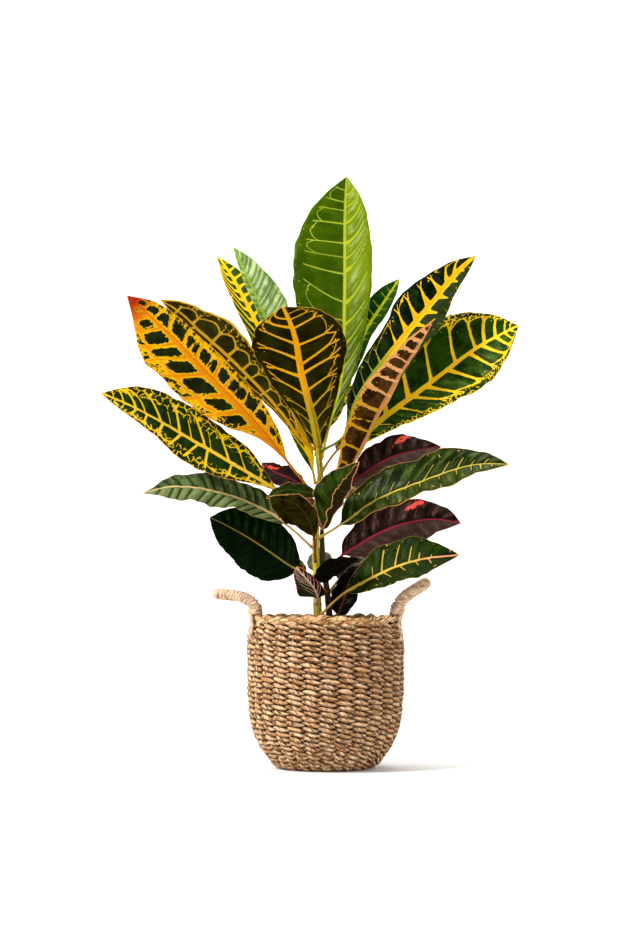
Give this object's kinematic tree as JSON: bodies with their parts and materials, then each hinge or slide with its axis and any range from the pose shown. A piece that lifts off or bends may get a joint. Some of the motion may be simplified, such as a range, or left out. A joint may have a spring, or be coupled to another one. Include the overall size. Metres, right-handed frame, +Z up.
{
  "type": "potted plant",
  "caption": "Potted croton: broad variegated leaves in green, yellow, orange and maroon on upright stems, in a round twined grass basket with two rope loop handles.",
  "frame": {"origin": "centre of the basket's flat underside, on the floor", "axes": "+Z up through the basket and the plant, +X to the right as seen from the front, +Y away from the viewer"},
  "size_m": [0.4786, 0.2601, 0.6933],
  "materials": {
    "seagrass": "rough twisted grass, straw beige",
    "pot_plastic": "dark brown moulded plastic",
    "soil": "dark brown crumbly potting mix",
    "rope": "pale wrapped cotton cord",
    "green_stem": "yellow-green bark with dark red streaks",
    "brown_stem": "brown-olive bark",
    "leaf_top_green": "waxy variegated leaf",
    "leaf_olive_front": "waxy variegated leaf",
    "leaf_olive_left": "waxy variegated leaf",
    "leaf_pale_back_left": "waxy variegated leaf",
    "leaf_small_back_right": "waxy variegated leaf",
    "leaf_dark_right": "waxy variegated leaf",
    "leaf_peach_right": "waxy variegated leaf",
    "leaf_yellow_back_left": "waxy variegated leaf",
    "leaf_broad_right": "waxy variegated leaf",
    "leaf_gold_left": "waxy variegated leaf",
    "leaf_net_left": "waxy variegated leaf",
    "leaf_maroon_back_left": "waxy variegated leaf",
    "leaf_maroon_right_upper": "waxy variegated leaf",
    "leaf_green_band_left": "waxy variegated leaf",
    "leaf_fold_right": "waxy variegated leaf",
    "leaf_front_left": "waxy variegated leaf",
    "leaf_green_right": "waxy variegated leaf",
    "leaf_wavy_left": "waxy variegated leaf",
    "leaf_maroon_right_lower": "waxy variegated leaf",
    "leaf_small_dark_front": "waxy variegated leaf",
    "leaf_dark_left": "waxy variegated leaf",
    "leaf_cup_front": "waxy variegated leaf",
    "leaf_green_right_lower": "waxy variegated leaf",
    "leaf_dark_rim_right": "waxy variegated leaf",
    "leaf_grey_back": "waxy variegated leaf",
    "leaf_back_top": "waxy variegated leaf",
    "leaf_back_left_upper": "waxy variegated leaf",
    "leaf_back_right_upper": "waxy variegated leaf",
    "leaf_back_left_middle": "waxy variegated leaf",
    "leaf_back_right_middle": "waxy variegated leaf",
    "leaf_back_centre": "waxy variegated leaf",
    "leaf_back_left_low": "waxy variegated leaf",
    "leaf_back_right_low": "waxy variegated leaf"
  },
  "bodies": {
    "root": {"basket": "seagrass", "nursery_pot": "pot_plastic", "soil": "soil", "handle_left": "rope", "handle_right": "rope", "stem_main": "green_stem", "stem_second": "brown_stem", "leaf_top_green": "leaf_top_green", "leaf_olive_front": "leaf_olive_front", "leaf_olive_left": "leaf_olive_left", "leaf_pale_back_left": "leaf_pale_back_left", "leaf_small_back_right": "leaf_small_back_right", "leaf_dark_right": "leaf_dark_right", "leaf_peach_right": "leaf_peach_right", "leaf_yellow_back_left": "leaf_yellow_back_left", "leaf_broad_right": "leaf_broad_right", "leaf_gold_left": "leaf_gold_left", "leaf_net_left": "leaf_net_left", "leaf_maroon_back_left": "leaf_maroon_back_left", "leaf_maroon_right_upper": "leaf_maroon_right_upper", "leaf_green_band_left": "leaf_green_band_left", "leaf_fold_right": "leaf_fold_right", "leaf_front_left": "leaf_front_left", "leaf_green_right": "leaf_green_right", "leaf_wavy_left": "leaf_wavy_left", "leaf_maroon_right_lower": "leaf_maroon_right_lower", "leaf_small_dark_front": "leaf_small_dark_front", "leaf_dark_left": "leaf_dark_left", "leaf_cup_front": "leaf_cup_front", "leaf_green_right_lower": "leaf_green_right_lower", "leaf_dark_rim_right": "leaf_dark_rim_right", "leaf_grey_back": "leaf_grey_back", "leaf_back_top": "leaf_back_top", "leaf_back_left_upper": "leaf_back_left_upper", "leaf_back_right_upper": "leaf_back_right_upper", "leaf_back_left_middle": "leaf_back_left_middle", "leaf_back_right_middle": "leaf_back_right_middle", "leaf_back_centre": "leaf_back_centre", "leaf_back_left_low": "leaf_back_left_low", "leaf_back_right_low": "leaf_back_right_low"}
  },
  "joints": []
}
